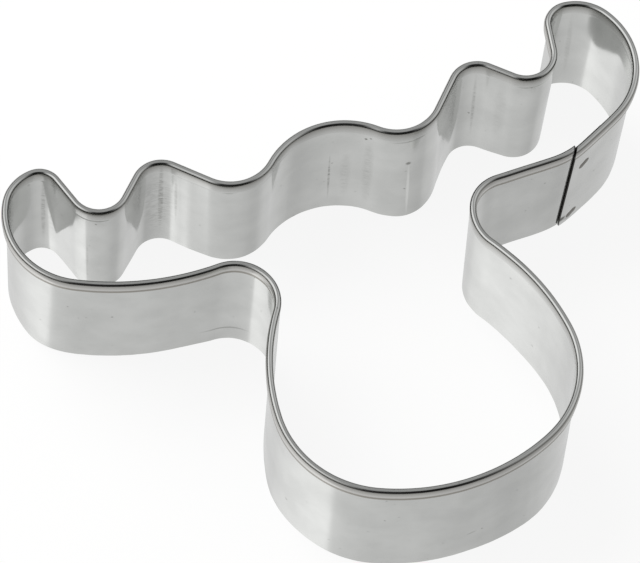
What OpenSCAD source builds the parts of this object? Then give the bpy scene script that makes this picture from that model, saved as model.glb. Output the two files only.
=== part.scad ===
// Cookie cutter in the outline of a moose's head, bent from one strip of tinplate.
// The strip stands on its plain cutting edge at z = 0. Its top is folded outwards into a rim.
// Its two ends lap under the right antler, held by two spot welds.
// X runs across the antlers, +Y points from the nose to the antlers. Sizes are in millimetres.

/* [Overall] */
// Width across the antlers, over the rims
span = 109; // [107.4:0.2:118.4]
// Length from the nose to the antler tops, over the rims
length = 77.8; // [74.4:0.2:86.4]
// Height from the cutting edge to the top of the rim
blade_h = 25.4; // [18:0.2:40]

/* [Sheet] */
// Thickness of the tinplate
sheet_t = 0.3; // [0.2:0.05:0.4]
// Height of the folded rim
rim_h = 2.3; // [1.6:0.1:4]
// Air left inside the fold
fold_gap = 0.5; // [0.3:0.05:0.7]

/* [Head] */
// Radius of the broad bend across the nose
nose_r = 34; // [30:0.5:44]
// Radius of the bend at each side of the nose
jaw_r = 17.4; // [15:0.2:19]
// Distance from the middle line to the jaw bend's centre
jaw_x = 6.9; // [5.5:0.1:8.5]
// Radius of the long bend up each cheek
cheek_r = 36; // [28:1:60]
// Radius of the bend between head and antler
notch_r = 7.3; // [6:0.1:8]
// Distance from the middle line to the notch bend's centre
notch_x = 23.8; // [22:0.2:26]
// Depth of the notch bend's centre below the antler tops
notch_drop = 32.8; // [31:0.2:35]

/* [Antlers] */
// Radius of the long bend under each antler
under_r = 44; // [32:1:70]
// Radius of the bend round the antler's outer side
heel_r = 12.5; // [11:0.1:14]
// Radius of the bend over the antler's outer corner
top_r = 6.5; // [5:0.1:8]
// Radius of the tight bend at the antler's inner corner
corner_r = 2.8; // [2:0.1:3.4]
// Direction of the sheet where the heel bend meets the top bend
heel_end = 119; // [110:1:130]
// Direction of the sheet where the top bend meets the inner corner
top_end = 176; // [160:1:185]
// Radius of the dip beside the antler's outer corner
outer_dip_r = 5.2; // [4:0.1:5.7]
// Distance from the antler's outer side to that dip's centre
outer_dip_in = 16.1; // [15.8:0.1:16.8]
// Depth of that dip's centre below the antler tops
outer_dip_drop = 5.6; // [4.8:0.1:6.2]
// Radius of the small lobe between the dips
lobe_r = 3.9; // [3:0.1:4.4]
// Distance from the antler's outer side to that lobe's centre
lobe_in = 25.7; // [25.3:0.1:27]
// Depth of that lobe's centre below the antler tops
lobe_drop = 8.9; // [8:0.1:10.5]

/* [Crown] */
// Radius of the inner dip beside the crown
inner_dip_r = 8; // [6.5:0.1:9]
// Distance from the middle line to that dip's centre
inner_dip_x = 14.4; // [13:0.1:15.2]
// Radius of the crown between the antlers
crown_r = 13; // [11:0.1:14.5]
// Depth of the crown's top below the antler tops
crown_drop = 7.6; // [6.6:0.1:9]

/* [Seam] */
// Distance from the antler's outer side to the end of the inner ply's rim
seam_in = 14.6; // [13.8:0.1:17]
// How far the inner ply runs on behind the outer ply
lap = 6; // [5:0.2:7]
// Air between the two plies of the lap
lap_gap = 0.1; // [0.05:0.05:0.3]
// How far the outer ply's end leans from top to bottom
end_lean = 1.5; // [0:0.1:2.4]
// How far the outer ply's rim is nipped back from its end
rim_nip = 0.6; // [0.4:0.1:1]
// How far the inner ply's lapped end stays below the rim's top
tongue_drop = 2; // [0.6:0.1:3]

/* [Spot welds] */
// Length of each weld mark
weld_l = 3; // [2:0.1:3.6]
// Width of each weld mark
weld_w = 2.1; // [1.2:0.1:2.4]
// Slope of each weld mark, in degrees
weld_tilt = 24; // [0:1:30]
// How far each weld mark is dented below the sheet
weld_dent = 0.05; // [0.02:0.01:0.1]
// Distance of the upper weld from the end of the inner ply's rim
upper_weld_in = 2.2; // [2:0.1:3]
// Depth of the upper weld below the rim's top
upper_weld_drop = 8.4; // [6:0.2:11]
// Distance of the lower weld from the end of the inner ply's rim
lower_weld_in = 1; // [0.8:0.1:2]
// Height of the lower weld above the cutting edge
lower_weld_h = 1.9; // [1.8:0.1:5]

/* [Hidden] */

// Most that the sheet turns, in degrees, or runs between two points of a bend
arc_step = 7;
arc_run = 2;
// Reach of a cutting solid past the sheet that it cuts
past = 1;
// Straights shorter than this have no length of their own
least_flat = 0.02;
tinplate = [0.72, 0.73, 0.72];
weld_grey = [0.45, 0.45, 0.45];

rim_w = 2 * sheet_t + fold_gap;
lap_step = sheet_t + lap_gap;
// Half width and length of the outline's inner face, before the lap's step is added
half_w = (span - lap_step) / 2 - rim_w;
inner_l = length - lap_step - 2 * rim_w;
// Middle of the overall box in the outline's own frame, whose y is 0 at the antler tops
box_middle = [lap_step / 2, (lap_step - inner_l) / 2];

// Unit vector to the left of a direction, which is the cutter's inside
function inward(a) = [-sin(a), cos(a)];
// Unit vector along a direction
function along(a) = [cos(a), sin(a)];
// Direction of a vector
function bearing(v) = atan2(v.y, v.x);
// Mirror image of a point across the middle line
function other_side(p) = [-p.x, p.y];
// Point at distance ra from a and rb from b, to the left of the way from a to b
function meet(a, ra, b, rb) =
    let (
        d = norm(b - a),
        u = (b - a) / d,
        run = (d * d + ra * ra - rb * rb) / (2 * d),
        across = sqrt(ra * ra - run * run)
    )
    a + run * u + across * [-u.y, u.x];

// Centres of the bends on the right-hand half
nose_c = [0, -inner_l + nose_r];
jaw_c = [jaw_x, nose_c.y - sqrt(pow(nose_r - jaw_r, 2) - jaw_x * jaw_x)];
notch_c = [notch_x, -notch_drop];
cheek_c = meet(jaw_c, cheek_r - jaw_r, notch_c, cheek_r + notch_r);
heel_to_top = (top_r - heel_r) * inward(heel_end);
top_to_corner = (corner_r - top_r) * inward(top_end);
heel_c = [half_w - heel_r, -corner_r - heel_to_top.y - top_to_corner.y];
top_c = heel_c + heel_to_top;
corner_c = top_c + top_to_corner;
under_c = meet(notch_c, under_r + notch_r, heel_c, under_r - heel_r);
outer_dip_c = [half_w - outer_dip_in, -outer_dip_drop];
lobe_c = [half_w - lobe_in, -lobe_drop];
crown_c = [0, -crown_drop - crown_r];
inner_dip_c = [inner_dip_x, crown_c.y + sqrt(pow(crown_r + inner_dip_r, 2) - inner_dip_x * inner_dip_x)];

// A bend is its centre and the radius of its inner face, below 0 where it turns clockwise.
function bend(c, r) = [c.x, c.y, r];
// The right antler's sheet lies one step further out than the left one's, up to its inner corner.
bends = [
    bend(under_c, under_r + lap_step),
    bend(heel_c, heel_r + lap_step),
    bend(top_c, top_r + lap_step),
    bend(corner_c, corner_r + lap_step),
    bend(outer_dip_c, -outer_dip_r),
    bend(lobe_c, lobe_r),
    bend(inner_dip_c, -inner_dip_r),
    bend(crown_c, crown_r),
    bend(other_side(inner_dip_c), -inner_dip_r),
    bend(other_side(lobe_c), lobe_r),
    bend(other_side(outer_dip_c), -outer_dip_r),
    bend(other_side(corner_c), corner_r),
    bend(other_side(top_c), top_r),
    bend(other_side(heel_c), heel_r),
    bend(other_side(under_c), under_r),
    bend(other_side(notch_c), -notch_r),
    bend(other_side(cheek_c), cheek_r),
    bend(other_side(jaw_c), jaw_r),
    bend(nose_c, nose_r),
    bend(jaw_c, jaw_r),
    bend(cheek_c, cheek_r),
    bend(notch_c, -notch_r),
    bend(under_c, under_r)
];
last = len(bends) - 1;

// Direction of the flat sheet that leaves bend a and reaches bend b
function between(a, b) =
    let (d = [b.x - a.x, b.y - a.y])
    bearing(d) - asin(max(-1, min(1, (b.z - a.z) / norm(d))));
// Direction of the sheet where the bend under the right antler crosses a given x
function under_heading(x) = asin((x - under_c.x) / under_r);
// Angle that a length of sheet takes up on that bend
function under_turn(l) = l / under_r * 180 / PI;

seam_a = under_heading(half_w - seam_in);
ply_start_a = seam_a - under_turn(end_lean);
ply_rim_a = seam_a + under_turn(rim_nip);
tongue_end_a = seam_a + under_turn(lap);

// Direction of the sheet before each bend, and after the last
headings = [
    ply_rim_a,
    for (i = [0 : last - 1]) between(bends[i], bends[i + 1]),
    seam_a
];
// Point on a bend's inner face where the sheet has direction a
function on_bend(b, a) = [b.x, b.y] - b.z * inward(a);
// Turn from direction a to direction b the way that the bend goes
function turn(b, from, to) = b.z > 0 ? (to - from + 720) % 360 : (from - to + 720) % 360;

// Stations along a bend, each a point of the inner face and the sheet's direction there
function stations(b, from, to, first = 0) =
    let (
        angle = turn(b, from, to),
        n = ceil(max(angle / arc_step, abs(b.z) * angle * PI / 180 / arc_run))
    )
    [
        for (i = [first : n])
            let (a = from + sign(b.z) * angle * i / n)
            [on_bend(b, a), a]
    ];
// 1 where bend i starts at the very point where the bend before it ends, 0 where a flat joins them
function shares_point(i) =
    i > 0 && norm(on_bend(bends[i], headings[i]) - on_bend(bends[i - 1], headings[i])) < least_flat ? 1 : 0;

// Stations of the rimmed stretch, of the outer ply's end before it and of the tongue after it
rimmed_run = [
    for (i = [0 : last])
        each stations(bends[i], headings[i], headings[i + 1], shares_point(i))
];
outer_ply_run = concat(stations(bends[0], ply_start_a, ply_rim_a), [rimmed_run[1]]);
tongue_run = stations(bends[last], seam_a, tongue_end_a);
// The sheet from the nipped rim right round to the tongue's end
sheet_run = concat(rimmed_run, [for (i = [1 : len(tongue_run) - 1]) tongue_run[i]]);

// A run of stations drawn out by a length at both ends
function drawn_out(run, l) =
    let (n = len(run) - 1)
    concat(
        [[run[0][0] - l * along(run[0][1]), run[0][1]]],
        run,
        [[run[n][0] + l * along(run[n][1]), run[n][1]]]
    );
// Line beside a run, at an offset outwards from the inner face
function beside(run, out) = [for (s = run) s[0] - out * inward(s[1])];

// Upright ribbon along a run, from offset a to offset b outwards and from height low to height high
module ribbon(run, a, b, low, high) {
    there = beside(run, a);
    back = beside(run, b);
    translate([0, 0, low])
        linear_extrude(height = high - low)
            polygon(concat(there, [for (i = [len(back) - 1 : -1 : 0]) back[i]]));
}

// Draws in the plane that touches the right antler's underside where the sheet has direction a.
// There x runs along the sheet, y is the height, and z runs outwards from the inner face.
module on_underside(a) {
    p = on_bend(bends[last], a);
    translate([p.x, p.y, 0])
        rotate([90, 0, a])
            children();
}

// The sheet's wall, whose end behind the outer ply is trimmed below the rim
module wall() {
    difference() {
        ribbon(sheet_run, 0, sheet_t, 0, blade_h);
        ribbon(tongue_run, -past, sheet_t + lap_gap / 2, blade_h - tongue_drop, blade_h + past);
    }
}

// The folded rim: a thick ribbon with the fold's slot cut up into it
module rim() {
    difference() {
        ribbon(rimmed_run, 0, rim_w, blade_h - rim_h, blade_h);
        ribbon(
            drawn_out(rimmed_run, rim_nip / 3),
            sheet_t, rim_w - sheet_t, blade_h - rim_h - past, blade_h - sheet_t
        );
    }
}

// The outer ply's end, whose cut edge leans and stops below the other end's rim
module outer_ply_end() {
    difference() {
        ribbon(outer_ply_run, 0, sheet_t, 0, blade_h - rim_h - lap_gap);
        on_underside(ply_start_a)
            linear_extrude(height = lap_step + sheet_t + past)
                polygon([[0, 0], [-past, -past], [-past, blade_h + past], [end_lean, blade_h]]);
    }
}

// Oval slug square to the sheet, through both plies, from offset a to offset b
module weld_slug(distance, height, a, b) {
    flat = weld_l - weld_w;
    on_underside(seam_a + under_turn(distance))
        translate([0, height, a])
            rotate([0, 0, weld_tilt])
                linear_extrude(height = b - a) {
                    square([flat, weld_w], center = true);
                    for (side = [-1, 1]) translate([side * flat / 2, 0]) circle(d = weld_w, $fn = 48);
                }
}

module upper_slug(a, b) {
    weld_slug(upper_weld_in, blade_h - upper_weld_drop, a, b);
}

module lower_slug(a, b) {
    weld_slug(lower_weld_in, lower_weld_h, a, b);
}

module in_place() {
    translate([-box_middle.x, -box_middle.y, 0]) children();
}

module cutter_strip() {
    color(tinplate)
        in_place()
            difference() {
                union() {
                    wall();
                    rim();
                    outer_ply_end();
                }
                upper_slug(-past, lap_step + sheet_t + past);
                lower_slug(-past, lap_step + sheet_t + past);
            }
}

module spot_weld_upper() {
    color(weld_grey) in_place() upper_slug(weld_dent, lap_step + sheet_t - weld_dent);
}

module spot_weld_lower() {
    color(weld_grey) in_place() lower_slug(weld_dent, lap_step + sheet_t - weld_dent);
}

cutter_strip();
spot_weld_upper();
spot_weld_lower();
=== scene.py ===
"""Looks of a bent-strip cookie cutter in the outline of a moose's head.

The cutter is one strip of tinplate, folded over at the top into a rim and lapped under one antler,
where two spot welds hold its ends. The strip is modelled here as a real folded sheet: a profile
carried along the outline's run. Lengths in the classes are millimetres and become metres in the mesh.
"""

import logging
import math
from dataclasses import dataclass, field
from enum import IntEnum

import bpy
import numpy as np
from mathutils import Matrix, Vector


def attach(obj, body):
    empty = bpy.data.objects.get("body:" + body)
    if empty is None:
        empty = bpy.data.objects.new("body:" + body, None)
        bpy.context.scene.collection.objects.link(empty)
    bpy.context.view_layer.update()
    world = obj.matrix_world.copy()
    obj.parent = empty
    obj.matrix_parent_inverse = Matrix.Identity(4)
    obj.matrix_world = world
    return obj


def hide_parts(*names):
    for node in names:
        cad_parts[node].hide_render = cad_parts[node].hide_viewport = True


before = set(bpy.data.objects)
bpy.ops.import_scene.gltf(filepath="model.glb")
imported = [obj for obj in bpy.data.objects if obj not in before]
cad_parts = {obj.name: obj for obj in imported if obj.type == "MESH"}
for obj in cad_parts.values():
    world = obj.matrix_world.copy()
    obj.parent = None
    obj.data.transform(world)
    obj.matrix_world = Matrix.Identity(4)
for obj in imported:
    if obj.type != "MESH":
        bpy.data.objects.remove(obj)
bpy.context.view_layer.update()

MM = 0.001
SHARP_EDGE = 40.0
SHEET = 0.3
RIM_WIDTH = 1.1
LAP_GAP = 0.1
LOG = logging.getLogger("cookie_cutter")
Tree = bpy.types.NodeTree
Socket = bpy.types.NodeSocket


class Surface(IntEnum):
    """Material slots of the strip's mesh."""

    TINNED = 0
    # Cut faces and the plugs at the rim's ends: near black, bare steel darkened further as painted shade of
    # the seam's gap and the rim's notch.
    CUT = 1
    # The hem's lip: tinned sheet painted darker, painted shade of the line under the hem.
    HEM_LIP_SHADE = 2


def inward(heading: np.ndarray) -> np.ndarray:
    """Unit vectors to the left of the headings, which is the cutter's inside."""
    return np.stack([-np.sin(heading), np.cos(heading)], axis=-1)


def meet(a: np.ndarray, reach_a: float, b: np.ndarray, reach_b: float) -> np.ndarray:
    """Point at reach_a from a and reach_b from b, to the left of the way from a to b.

    Args:
        a: first point.
        reach_a: distance from it.
        b: second point.
        reach_b: distance from that one.

    Returns:
        The point where the two circles meet.
    """
    gap = float(np.hypot(*(b - a)))
    unit = (b - a) / gap
    along = (gap**2 + reach_a**2 - reach_b**2) / (2 * gap)
    across = math.sqrt(reach_a**2 - along**2)
    return a + along * unit + across * np.array([-unit[1], unit[0]])


@dataclass(frozen=True)
class Bend:
    """A bend of the strip: its centre and its inner face's radius, below 0 where it turns clockwise."""

    x: float
    y: float
    radius: float

    def point(self, heading: float | np.ndarray) -> np.ndarray:
        """Point of the inner face where the strip has this heading."""
        return np.array([self.x, self.y]) - self.radius * inward(np.asarray(heading))

    def mirrored(self) -> "Bend":
        """The same bend on the other side of the middle line."""
        return Bend(-self.x, self.y, self.radius)

    def eased(self, step: float) -> "Bend":
        """The same bend with its inner face one step further out."""
        return Bend(self.x, self.y, self.radius + step)


@dataclass(frozen=True)
class Run:
    """The strip's inner face as a line in plan, from the outer ply's end round to the tongue's end."""

    length: np.ndarray
    place: np.ndarray
    heading: np.ndarray
    curvature: np.ndarray

    def at(self, length: np.ndarray) -> tuple[np.ndarray, np.ndarray]:
        """Places and headings at some lengths along the run.

        Args:
            length: lengths from the run's start, in an array of any shape.

        Returns:
            The places, with one more axis of 2, and the headings in radians.
        """
        x = np.interp(length, self.length, self.place[:, 0])
        y = np.interp(length, self.length, self.place[:, 1])
        return np.stack([x, y], axis=-1), np.interp(length, self.length, self.heading)


@dataclass(frozen=True)
class Outline:
    """The cutter's outline in millimetres and degrees, by the solid's sizes except at the seam."""

    span: float = 109.0
    length: float = 77.8
    sheet: float = SHEET
    rim_w: float = RIM_WIDTH
    lap_gap: float = LAP_GAP
    nose_r: float = 34
    jaw_r: float = 17.4
    jaw_x: float = 6.9
    cheek_r: float = 36
    notch_r: float = 7.3
    notch_x: float = 23.8
    notch_drop: float = 32.8
    under_r: float = 44
    heel_r: float = 12.5
    top_r: float = 6.5
    corner_r: float = 2.8
    heel_end: float = 119
    top_end: float = 176
    outer_dip_r: float = 5.2
    outer_dip_in: float = 16.1
    outer_dip_drop: float = 5.6
    lobe_r: float = 3.9
    lobe_in: float = 25.7
    lobe_drop: float = 8.9
    inner_dip_r: float = 8
    inner_dip_x: float = 14.4
    crown_r: float = 13
    crown_drop: float = 7.6
    seam_in: float = 15.0
    lap: float = 6
    end_lean: float = 1.5
    rim_nip: float = 0.05
    rim_back: float = 0.3

    @property
    def lap_step(self) -> float:
        """Step between the two plies of the lap."""
        return self.sheet + self.lap_gap

    @property
    def half_w(self) -> float:
        """Half of the inner face's width across the antlers."""
        return (self.span - self.lap_step) / 2 - self.rim_w

    @property
    def inner_l(self) -> float:
        """Length of the inner face from the nose to the antler tops."""
        return self.length - self.lap_step - 2 * self.rim_w

    @property
    def middle(self) -> np.ndarray:
        """Middle of the overall box, in the frame whose y is 0 at the antler tops."""
        return np.array([self.lap_step / 2, (self.lap_step - self.inner_l) / 2])

    def bends(self) -> list[Bend]:
        """The bends in order, anticlockwise from the outer ply at the seam to the inner ply there.

        Returns:
            The bends, in a frame whose y is 0 at the antler tops.
        """
        nose = np.array([0, self.nose_r - self.inner_l])
        jaw = nose + [self.jaw_x, -math.sqrt((self.nose_r - self.jaw_r) ** 2 - self.jaw_x**2)]
        notch = np.array([self.notch_x, -self.notch_drop])
        cheek = meet(jaw, self.cheek_r - self.jaw_r, notch, self.cheek_r + self.notch_r)
        to_top = (self.top_r - self.heel_r) * inward(np.radians(self.heel_end))
        to_corner = (self.corner_r - self.top_r) * inward(np.radians(self.top_end))
        heel = np.array([self.half_w - self.heel_r, -self.corner_r - to_top[1] - to_corner[1]])
        under = meet(notch, self.under_r + self.notch_r, heel, self.under_r - self.heel_r)
        crown_y = -self.crown_drop - self.crown_r
        inner_dip_y = crown_y + math.sqrt((self.crown_r + self.inner_dip_r) ** 2 - self.inner_dip_x**2)
        antler = [
            Bend(*under, self.under_r),
            Bend(*heel, self.heel_r),
            Bend(*(heel + to_top), self.top_r),
            Bend(*(heel + to_top + to_corner), self.corner_r),
        ]
        dips = [
            Bend(self.half_w - self.outer_dip_in, -self.outer_dip_drop, -self.outer_dip_r),
            Bend(self.half_w - self.lobe_in, -self.lobe_drop, self.lobe_r),
            Bend(self.inner_dip_x, inner_dip_y, -self.inner_dip_r),
        ]
        face = [Bend(*jaw, self.jaw_r), Bend(*cheek, self.cheek_r), Bend(*notch, -self.notch_r)]
        left = [bend.mirrored() for bend in face + antler + dips][::-1]
        return [
            *[bend.eased(self.lap_step) for bend in antler],
            *dips,
            Bend(0, crown_y, self.crown_r),
            *left,
            Bend(*nose, self.nose_r),
            *face,
            antler[0],
        ]

    def seam_heading(self) -> float:
        """Heading of the strip where the inner ply's rim ends, in radians."""
        under = self.bends()[-1]
        return math.asin((self.half_w - self.seam_in - under.x) / self.under_r)

    def run(self, fine: float = 0.05, same: float = 1e-7) -> tuple[Run, float, float]:
        """Lays the strip out along its bends and the flats between them.

        A flat leaves bend a and meets bend b on their common tangent, whose direction is the bearing
        from centre to centre less the angle whose sine is the change of radius over their distance.

        Args:
            fine: longest step between two points of the run.
            same: two points no further apart than this are one.

        Returns:
            The run, the length where the outer ply's rim starts and the length where the inner one's ends.
        """
        bends = self.bends()
        seam = self.seam_heading()
        starts = [seam - self.end_lean / self.under_r]
        for a, b in zip(bends, bends[1:]):
            dx, dy = b.x - a.x, b.y - a.y
            sine = max(-1.0, min(1.0, (b.radius - a.radius) / math.hypot(dx, dy)))
            starts.append(math.atan2(dy, dx) - math.asin(sine))
        starts.append(seam + self.lap / self.under_r)
        places, headings, curvatures = [], [], []
        heading = starts[0]
        for bend, start, end in zip(bends, starts, starts[1:]):
            way = math.copysign(1, bend.radius)
            turn = (way * (end - start)) % (2 * math.pi)
            count = max(3, math.ceil(abs(bend.radius) * turn / fine))
            sweep = heading + way * turn * np.linspace(0, 1, count)
            places.append(bend.point(sweep))
            headings.append(sweep)
            curvatures.append(np.full(count, 1 / bend.radius))
            heading = sweep[-1]
        place = np.concatenate(places) - self.middle
        steps = np.hypot(*np.diff(place, axis=0).T)
        length = np.concatenate([[0], np.cumsum(steps)])
        keep = np.concatenate([[True], steps > same])
        heading = np.concatenate(headings)
        curvature = np.concatenate(curvatures)
        run = Run(length[keep], place[keep], heading[keep], curvature[keep])
        rim_start = (self.end_lean + self.rim_nip) * (self.under_r + self.lap_step) / self.under_r
        return run, rim_start, float(run.length[-1]) - self.lap - self.rim_back


@dataclass(frozen=True)
class Profile:
    """The folded sheet in section. Out is measured outwards from the inner face and up from the worktop.

    The inner side climbs the wall to a faint roll mark, leans in a little over the band above it, turns over
    the fold and comes down the hem to the raw edge.
    """

    height: float = 25.4
    sheet: float = SHEET
    rim_w: float = RIM_WIDTH
    rim_h: float = 2.3
    lap_gap: float = LAP_GAP
    tongue_drop: float = 1.5
    band_h: float = 2.65
    mark_depth: float = 0.02
    mark_half: float = 0.14
    mark_clear: float = 0.42
    fold_start: float = -84.0
    fold_end: float = 72.0
    fold_peak: float = 0.28
    fold_width: float = 1.07
    hem_lean: float = 4.0
    hem_ease: float = 0.7
    lip_h: float = 0.65
    wall_rows: int = 12
    mark_rows: int = 3
    fold_rows: int = 24
    hem_rows: int = 7
    lip_rows: int = 3

    @property
    def wall_top(self) -> float:
        """Height of the roll mark, where the band starts."""
        return self.height - self.band_h

    @property
    def free_top(self) -> float:
        """Top of the outer ply's free end, which stays clear below the inner ply's hem."""
        return self.height - self.rim_h - self.lap_gap

    @property
    def tongue_top(self) -> float:
        """Top of the inner ply's tongue, which stays clear below the outer ply's fold."""
        return self.height - self.tongue_drop

    @property
    def hem_bulge(self) -> float:
        """How far the hem swells below the fold: half its easing height times the fold's last slope."""
        return self.hem_ease / 2 / math.tan(math.radians(self.fold_end))

    def hem_out(self, drop: np.ndarray) -> np.ndarray:
        """How far the hem is out from the fold's end, at some drops below it.

        Its slope eases evenly from the fold's last slope to none, then it leans in evenly.

        Args:
            drop: the drops.

        Returns:
            The distances outwards.
        """
        eased = np.clip(drop / self.hem_ease, 0, 1)
        lean = np.clip(drop - self.hem_ease, 0, None) * math.tan(math.radians(self.hem_lean))
        return self.hem_bulge * (2 * eased - eased**2) - lean

    def fold(self) -> np.ndarray:
        """The fold's outside, from the band over the top to the hem.

        The sheet's tilt goes evenly from fold_start to fold_end, and its curvature is 1 plus fold_peak times
        the cosine of four times the tilt, so that both shoulders are flatter than the rest.

        Returns:
            Points (out, up), starting at (0, 0).
        """
        fine = 40
        tilt = np.radians(np.linspace(self.fold_start, self.fold_end, fine * self.fold_rows + 1))
        radius = 1 / (1 + self.fold_peak * np.cos(4 * tilt))
        mid = (tilt[1:] + tilt[:-1]) / 2
        pace = (radius[1:] + radius[:-1]) / 2 * np.diff(tilt)
        out = np.concatenate([[0], np.cumsum(pace * np.cos(mid))])
        up = np.concatenate([[0], np.cumsum(-pace * np.sin(mid))])
        return (np.stack([out, up], axis=1) * self.fold_width / out[-1])[::fine]

    def inner_side(self) -> np.ndarray:
        """The side of the sheet that is inside the cutter below and outside on the hem.

        The band goes over to the fold's foot by a smooth step.

        Returns:
            Points (out, up) from the cutting edge to the hem's raw edge.
        """
        fold = self.fold()
        foot = self.height - fold[:, 1].max()
        wall = np.linspace(0, self.wall_top - self.mark_clear, self.wall_rows)
        marks = self.wall_top + self.mark_half * np.linspace(-1, 1, self.mark_rows)
        free, tongue = self.free_top, self.tongue_top
        band = [free, (free + tongue) / 2, tongue, (tongue + foot) / 2]
        up = np.concatenate([wall, marks, band])
        share = np.clip((up - self.wall_top) / (foot - self.wall_top), 0, 1)
        foot_out = self.rim_w - self.fold_width - self.hem_bulge
        out = foot_out * share**2 * (3 - 2 * share)
        out[self.wall_rows + self.mark_rows // 2] += self.mark_depth
        crest = fold + [foot_out, foot]
        raw_edge = crest[-1, 1] - (self.height - self.rim_h)
        above_lip = np.linspace(0, raw_edge - self.lip_h, self.hem_rows + 1)[1:]
        lip = np.linspace(raw_edge - self.lip_h, raw_edge, self.lip_rows + 1)[1:]
        drop = np.concatenate([above_lip, lip])
        hem = crest[-1] + np.stack([self.hem_out(drop), -drop], axis=1)
        return np.concatenate([np.stack([out, up], axis=1), crest, hem])

    @property
    def free_row(self) -> int:
        """Row of the outer ply's free end's top, the first one above the roll mark's rows."""
        return self.wall_rows + self.mark_rows

    @property
    def tongue_row(self) -> int:
        """Row of the tongue's top, the second one above the free end's."""
        return self.free_row + 2

    @property
    def crest_row(self) -> int:
        """Row of the fold's crest, halfway round the fold, whose foot is two rows above the tongue's top."""
        return self.tongue_row + 2 + self.fold_rows // 2

    def outer_side(self, inner: np.ndarray) -> np.ndarray:
        """The sheet's other side: each point of the inner side moved square to it by the sheet's thickness.

        Args:
            inner: points (out, up) of the inner side.

        Returns:
            As many points of the other side.
        """
        way = np.gradient(inner, axis=0)
        way /= np.hypot(*way.T)[:, None]
        way[0] = (0, 1)
        return inner + self.sheet * np.stack([way[:, 1], -way[:, 0]], axis=1)


# Listed marks: a length along the strip and a distance outwards there, in millimetres.
LEANS = (
    (-3, -0.6), (-1, -0.75), (0, -0.75), (8.5, -0.6), (13, -0.95), (16, -1.2), (21, -0.9), (30, -0.65),
    (34, 0.1), (46, 1.15), (50, 1.1), (57, 0.0), (62, -0.45), (65, -0.45), (70, 0.15), (75, -0.1),
    (82, -1.3), (87, -0.6), (94, -0.65), (100, -0.35), (109, 0.6), (118, 0.7), (124, 0.4), (129, 0.65),
    (133, 0.4), (137, 0.6), (153, 0.75), (158, 0.25), (171, -0.5), (177, -0.05), (181, -0.4), (202, -0.6),
    (208, -0.05), (214, 0.45), (220, 0.45), (226, 0.0), (242, 1.05), (251, 0.4), (279, 0.2), (291, 0.7),
    (302, -0.45), (310, -0.6), (316, -0.15), (325, -0.25), (330, 0.05), (334, 0.15), (339, -0.1),
    (343, 0.15), (352, -0.6), (359.15, -0.6), (361.15, -0.75), (362.15, -0.75), (370.65, -0.6),
)
STRAYS = (
    (-4, 0.35), (-1, 0.85), (0, 0.85), (2, 0.65), (4, 0.35), (6, 0.15), (9, 0.05), (12, 0.0), (316, 0.0),
    (323, 0.15), (330, 0.35), (334, 0.7), (337, 0.85), (340, 0.75), (344, 0.2), (348, -0.1), (353, -0.2),
    (356, 0.05), (358.15, 0.35), (361.15, 0.85), (362.15, 0.85), (364.15, 0.65), (366.15, 0.35),
    (368.15, 0.15), (371.15, 0.05),
)
# The sines of the facets: each one's height, its pace and where it starts, in radians.
WAVES = ((1.0, 1.0, 0.0), (0.8, 0.61803, 1.0), (0.6, 1.4142, 2.0))


@dataclass(frozen=True)
class Handwork:
    """What bending and cutting by hand leave: a straying rim, leaning walls, facets and uneven ends.

    STRAYS gives how far the rim stands out from the regular outline at lengths along the strip, and LEANS
    how far the cutting edge stands out past the rim. At the lap both are the same in the two plies.
    """

    blend: float = 2.0
    samples: int = 9
    facet_depth: float = 0.012
    facet_length: float = 3.1
    end_lift: float = 0.025
    end_reach: float = 3.5
    cut_slant: float = 1.2
    cut_reach: float = 4.0

    def blended(self, length: np.ndarray, marks: tuple[tuple[float, float], ...]) -> np.ndarray:
        """Straight lines between the marks, averaged over a few millimetres of the strip.

        Args:
            length: lengths along the strip.
            marks: a length and a distance outwards for each mark.

        Returns:
            The distances outwards.
        """
        at, out = np.array(marks).T
        near = np.linspace(-self.blend, self.blend, self.samples)
        return np.mean([np.interp(length + step, at, out) for step in near], axis=0)

    def facets(self, length: np.ndarray, seam_fade: np.ndarray) -> np.ndarray:
        """Shallow facets along the run: three sines of unrelated lengths, faded out at the seam.

        Args:
            length: lengths along the strip.
            seam_fade: 0 at the seam, rising to 1 away from it.

        Returns:
            The distances outwards.
        """
        phase = 2 * math.pi * length / self.facet_length
        wave = sum(high * np.sin(pace * phase + start) for high, pace, start in WAVES)
        return self.facet_depth * wave * seam_fade / sum(high for high, _, _ in WAVES)

    def slant(self, out_share: np.ndarray, from_cut: np.ndarray) -> np.ndarray:
        """How far the rim's slanting end cuts move its points back along the strip, fading from the cuts."""
        return self.cut_slant * np.clip(out_share, 0, 1) * np.clip(1 - from_cut / self.cut_reach, 0, 1)

    def lift(self, from_end: np.ndarray) -> np.ndarray:
        """How far the outer ply's free end springs off the inner ply: a parabola over its last stretch."""
        return self.end_lift * np.clip(1 - from_end / self.end_reach, 0, 1) ** 2


def linear_rgb(code: str) -> tuple[float, float, float, float]:
    """Linear colour of an sRGB hex code.

    Args:
        code: the code, such as "C8CAC4".

    Returns:
        Red, green, blue and an alpha of 1.
    """
    shares = [int(code[i : i + 2], 16) / 255 for i in (0, 2, 4)]
    linear = [s / 12.92 if s <= 0.04045 else ((s + 0.055) / 1.055) ** 2.4 for s in shares]
    return (*linear, 1.0)


def add_node(tree: Tree, kind: str, inputs: dict, output: int | str = 0, **settings) -> Socket | None:
    """Adds a node with its settings, its socket values and its links.

    Args:
        tree: the tree that gets it.
        kind: the node's type.
        inputs: for each socket, by name or number, a value or the output socket that feeds it.
        output: name or number of the output socket that is wanted.
        settings: the node's own properties.

    Returns:
        That output socket, or None where the node has no outputs.
    """
    node = tree.nodes.new(kind)
    for name, value in settings.items():
        setattr(node, name, value)
    for socket, value in inputs.items():
        if isinstance(value, Socket):
            tree.links.new(value, node.inputs[socket])
        else:
            node.inputs[socket].default_value = value
    return node.outputs[output] if node.outputs else None


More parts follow.
